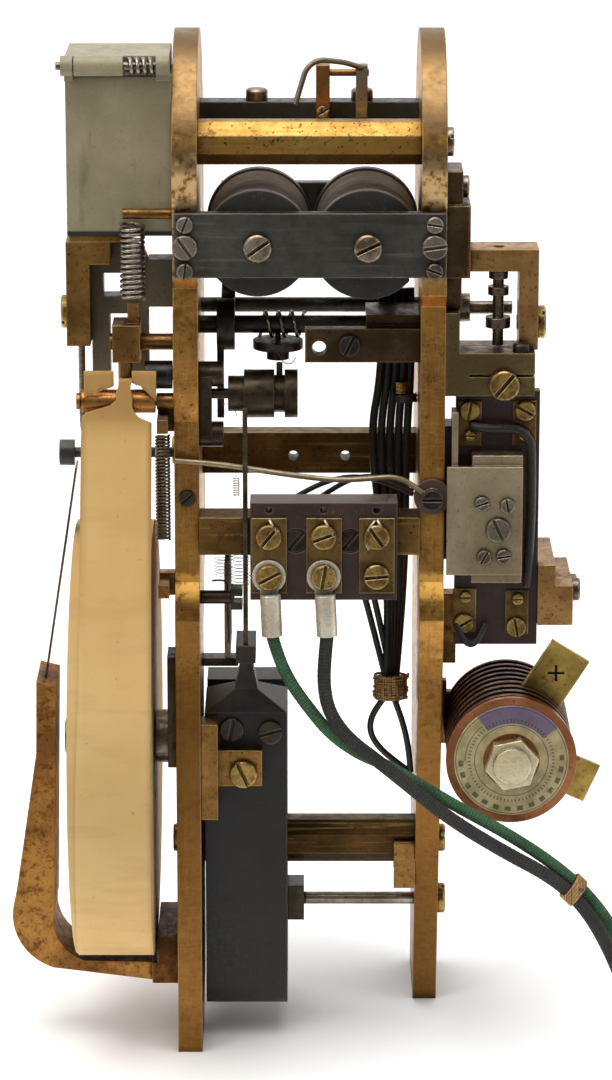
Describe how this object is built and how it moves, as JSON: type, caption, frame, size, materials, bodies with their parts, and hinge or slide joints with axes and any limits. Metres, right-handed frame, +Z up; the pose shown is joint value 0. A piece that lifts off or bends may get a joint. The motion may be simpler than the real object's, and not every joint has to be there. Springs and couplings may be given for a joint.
{
  "type": "recording galvanometer mechanism",
  "caption": "Open brass-framed recording galvanometer: electromagnets over a horseshoe magnet, ink box, paper tape feed, terminal block and rectifier stack.",
  "frame": {"origin": "centre of the bounding box's footprint, on the floor the two side plates stand on", "axes": "+X to the viewer's right across the two side plates, +Y back through the plates, +Z up"},
  "size_m": [0.2525, 0.1724, 0.302],
  "materials": {
    "side_plate_brass": "old rolled brass, darkened and scratched, bright where it was filed",
    "bar_brass": "turned and milled brass bar, lightly tarnished",
    "black_bar": "black lacquer, worn at the ends",
    "bright_steel_rod": "plain turned steel rod and nickelled wire",
    "bridge_steel": "blued grey steel plate, faint draw lines",
    "core_iron": "soft iron, dark",
    "coil_end_fibre": "black fibre discs and shield, rubbed edges",
    "coil_winding": "cotton-covered wire under dark varnished cloth",
    "armature_steel": "dark oiled iron",
    "post_copper": "copper coloured bronze",
    "contact_arm_steel": "dark steel strip and needle",
    "box_paint": "grey-green paint, stained with old ink",
    "arch_paint": "grey-green paint, worn to brass inside the arch",
    "spring_steel": "oiled spring wire and strip",
    "aged_brass": "aged brass, brown in the corners",
    "roller_brass": "turned brass roller",
    "roller_steel": "smooth steel-blue roller",
    "roll_paper": "yellowed paper tape, brown at the edges",
    "core_board": "pressed board core",
    "arm_iron": "black japanned iron, brown rubbed edges",
    "knob_black": "black moulded knob",
    "rocker_steel": "blackened steel shaft",
    "coil_frame": "light metal former wound with fine wire",
    "magnet_black": "satin black enamel over magnet steel",
    "bakelite": "dark maroon-brown moulding",
    "tab_brass": "stamped brass, soldered",
    "tinned_lug": "tinned brass lugs, dull",
    "nickel": "nickelled metal gone grey-green",
    "fibre_brown": "red-brown vulcanised fibre",
    "harness": "black waxed cotton wire with brown twine",
    "screw_steel": "steel screws, slots darkened",
    "screw_brass": "brass screws, slots darkened",
    "screw_dark": "blackened screws",
    "olive_brass": "cast brass gone olive",
    "stack_copper": "oxidised copper discs between black rings",
    "dark_bronze": "bronze and steel fittings gone dark brown",
    "bolt_brass": "brass hexagon nut, worn",
    "green_braid": "green cotton braid with a black tracer",
    "black_braid": "black cotton braid",
    "twine": "brown waxed twine"
  },
  "bodies": {
    "chassis": {"left_side_plate": "side_plate_brass", "right_side_plate": "side_plate_brass", "octagon_pillars": "bar_brass", "square_crossbars": "bar_brass", "rear_bar": "black_bar", "steel_rods": "bright_steel_rod", "bridge_plate": "bridge_steel", "magnet_cores": "core_iron", "coil_ends": "coil_end_fibre", "coil_windings": "coil_winding", "contact_post": "post_copper", "ink_box": "box_paint", "springs": "spring_steel", "box_arm": "aged_brass", "arch_bracket": "arch_paint", "brass_pins": "aged_brass", "tension_spring": "spring_steel", "paper_tape": "roll_paper", "roll_arm": "arm_iron", "spring_strips": "spring_steel", "finger_bracket": "aged_brass", "left_plate_fittings": "dark_bronze", "magnet": "magnet_black", "magnet_bracket": "aged_brass", "terminal_block": "bakelite", "solder_tabs": "tab_brass", "lead_lugs": "tinned_lug", "fibre_washer": "fibre_brown", "wiring": "harness", "right_plate_fittings": "aged_brass", "right_brackets": "aged_brass", "clamp_block": "olive_brass", "bakelite_panel": "bakelite", "nickel_plate": "nickel", "rectifier_stack": "stack_copper", "rectifier_bolt": "bolt_brass", "rectifier_tabs": "tab_brass", "steel_screws": "screw_steel", "brass_screws": "screw_brass", "dark_screws": "screw_dark", "green_lead": "green_braid", "black_lead": "black_braid", "green_lead_coil": "green_braid", "black_lead_coil": "black_braid", "far_lugs": "tinned_lug", "twine_tie": "twine"},
    "lid": {"ink_box_lid": "box_paint"},
    "roll": {"paper_roll": "roll_paper", "roll_core": "core_board"},
    "feed": {"feed_roller": "roller_steel"},
    "guide": {"guide_roller": "roller_brass"},
    "tension_arm": {"tension_lever": "aged_brass"},
    "brake": {"brake_knob": "knob_black"},
    "rocker_shaft": {"rocker": "rocker_steel"},
    "drum_shaft": {"drum": "dark_bronze"},
    "armature_lever": {"armature": "armature_steel"},
    "contact_lever": {"contact_arm": "contact_arm_steel"},
    "wire_arm": {"wire_lever": "nickel"},
    "coil": {"moving_coil": "coil_frame"},
    "adjusting_screw": {"contact_screw": "screw_steel"}
  },
  "joints": [
    {"name": "lid_hinge", "type": "hinge", "parent": "chassis", "child": "lid", "pos_m": [-0.05, -0.02, 0.2963], "axis": [1, 0, 0], "range_deg": [0, 105], "stiffness_Nm_per_rad": 0.002, "springref_deg": -28.65},
    {"name": "roll_spin", "type": "hinge", "parent": "chassis", "child": "roll", "pos_m": [-0.056, 0, 0.0915], "axis": [1, 0, 0], "continuous": true},
    {"name": "feed_spin", "type": "hinge", "parent": "chassis", "child": "feed", "pos_m": [-0.042, -0.02, 0.207], "axis": [1, 0, 0], "continuous": true},
    {"name": "guide_spin", "type": "hinge", "parent": "chassis", "child": "guide", "pos_m": [-0.054, -0.021, 0.1994], "axis": [1, 0, 0], "continuous": true},
    {"name": "tension_swing", "type": "hinge", "parent": "chassis", "child": "tension_arm", "pos_m": [-0.0515, -0.013, 0.2152], "axis": [1, 0, 0], "range_deg": [-5, 5], "stiffness_Nm_per_rad": 0.5, "deforming": ["tension_spring"]},
    {"name": "brake_turn", "type": "hinge", "parent": "chassis", "child": "brake", "pos_m": [-0.07, -0.005, 0.1803], "axis": [1, 0, 0], "continuous": true},
    {"name": "rocker_swing", "type": "hinge", "parent": "chassis", "child": "rocker_shaft", "pos_m": [-0.01, 0, 0.2176], "axis": [1, 0, 0], "range_deg": [-8, 8], "stiffness_Nm_per_rad": 0.05},
    {"name": "drum_spin", "type": "hinge", "parent": "chassis", "child": "drum_shaft", "pos_m": [-0.012, -0.012, 0.1996], "axis": [1, 0, 0], "continuous": true},
    {"name": "armature_swing", "type": "hinge", "parent": "chassis", "child": "armature_lever", "pos_m": [0.001, 0.02, 0.2193], "axis": [1, 0, 0], "range_deg": [-2, 3], "stiffness_Nm_per_rad": 1},
    {"name": "contact_arm_swing", "type": "hinge", "parent": "chassis", "child": "contact_lever", "pos_m": [0.0145, 0.0122, 0.2896], "axis": [1, 0, 0], "range_deg": [-8, 6], "stiffness_Nm_per_rad": 0.02},
    {"name": "wire_lever_swing", "type": "hinge", "parent": "chassis", "child": "wire_arm", "pos_m": [0.0366, -0.02225, 0.1708], "axis": [0, 1, 0], "range_deg": [-3, 3], "stiffness_Nm_per_rad": 0.05},
    {"name": "coil_turn", "type": "hinge", "parent": "chassis", "child": "coil", "pos_m": [-0.0233, 0.006, 0.13], "axis": [0, 0, 1], "range_deg": [-12, 12], "stiffness_Nm_per_rad": 0.001},
    {"name": "contact_screw_turn", "type": "hinge", "parent": "chassis", "child": "adjusting_screw", "pos_m": [0.0556, -0.01, 0.23], "axis": [0, 0, 1], "continuous": true}
  ]
}
